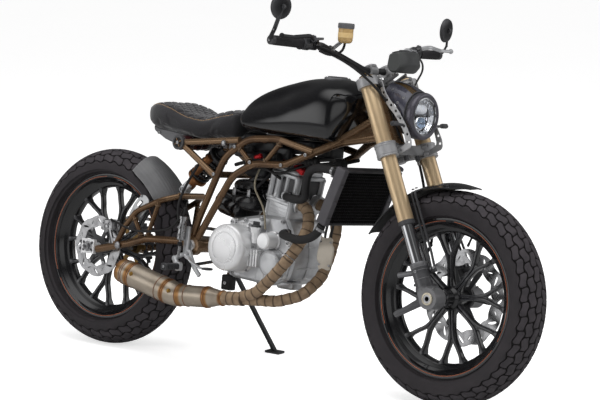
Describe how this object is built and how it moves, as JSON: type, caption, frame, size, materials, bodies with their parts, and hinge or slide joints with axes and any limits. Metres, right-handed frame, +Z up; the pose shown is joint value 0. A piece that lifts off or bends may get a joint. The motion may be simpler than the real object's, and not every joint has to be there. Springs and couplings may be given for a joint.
{
  "type": "cafe racer motorcycle",
  "caption": "Naked street motorcycle with a bronze tube frame, round headlight, wide bars, long quilted seat, block-tread tyres and a low exhaust, leaning on its side stand.",
  "frame": {"origin": "on the ground at the middle of the bounding box", "axes": "+X towards the front wheel, +Y to the rider's left, +Z up; the machine leans to its left about X on its side stand"},
  "size_m": [2.17, 0.9502, 1.3122],
  "materials": {
    "tyre": "matt block tread",
    "rim": "gloss black",
    "disc": "brushed",
    "sprocket": "anodised, dark teeth",
    "chain": "oiled steel",
    "axle": "machined",
    "yoke": "grey satin",
    "fork_outer": "gold anodised",
    "fork_lower": "chrome tubes in dark feet",
    "black_metal": "satin black",
    "grip": "ribbed rubber and cast levers",
    "reservoir": "amber with a dark cap",
    "mirror_shell": "black with a mirror face",
    "lamp": "dark bezel and clear lens",
    "lamp_arm": "satin",
    "dash": "dark grey",
    "fender": "gloss black",
    "caliper": "satin",
    "hose": "black rubber",
    "frame": "bronze metallic",
    "shock": "black spring and body",
    "engine": "bright cast silver",
    "airbox": "gloss black",
    "header": "steel under brown wrap",
    "silencer": "raw with warm weld rings",
    "radiator": "black core",
    "tank": "gloss black",
    "seat": "charcoal cloth, quilted",
    "tray": "grey satin",
    "tail": "black with bronze ends",
    "peg": "silver bracket, dark peg",
    "guard": "grey"
  },
  "bodies": {
    "chassis": {"airbox": "airbox", "chain": "chain", "coolant_hoses": "hose", "cylinder": "engine", "engine_case": "engine", "engine_covers": "engine", "filler_cap": "tray", "footrests": "peg", "frame_cross_members": "frame", "frame_left": "frame", "frame_right": "frame", "fuel_tank": "tank", "header_pipes": "header", "radiator": "radiator", "rear_axles": "axle", "rear_brake": "caliper", "rear_hugger": "guard", "seat": "seat", "shock": "shock", "silencer": "silencer", "subframe": "frame", "swingarm": "frame", "tail_lamps": "tail", "tail_tray": "tray"},
    "steering": {"brake_reservoir": "reservoir", "dash": "dash", "fork_lowers": "fork_lower", "fork_outers": "fork_outer", "front_axle": "axle", "front_brake_hose": "hose", "front_caliper": "caliper", "front_fender": "fender", "hand_controls": "grip", "handlebar": "black_metal", "headlight": "lamp", "headlight_mount": "lamp_arm", "lower_yoke": "yoke", "mirrors": "mirror_shell", "top_yoke": "yoke"},
    "front_wheel": {"front_tyre": "tyre", "front_rim": "rim", "front_disc": "disc"},
    "rear_wheel": {"rear_tyre": "tyre", "rear_rim": "rim", "rear_disc": "disc", "rear_sprocket": "sprocket"},
    "side_stand": {"side_stand": "black_metal"}
  },
  "joints": [
    {"name": "steering", "type": "hinge", "parent": "chassis", "child": "steering", "pos_m": [0.69848, -0.11669, 0.32295], "axis": [-0.4305, 0.1219, 0.8943], "range_deg": [-30, 30]},
    {"name": "front_wheel_spin", "type": "hinge", "parent": "steering", "child": "front_wheel", "pos_m": [0.74, -0.11402, 0.34258], "axis": [0, 0.9908, -0.135], "continuous": true},
    {"name": "rear_wheel_spin", "type": "hinge", "parent": "chassis", "child": "rear_wheel", "pos_m": [-0.74, -0.11402, 0.34258], "axis": [0, 0.9908, -0.135], "continuous": true},
    {"name": "side_stand_fold", "type": "hinge", "parent": "chassis", "child": "side_stand", "pos_m": [-0.3, 0.02853, 0.27773], "axis": [0.086, 0.9578, 0.2742], "range_deg": [0, 110]}
  ]
}
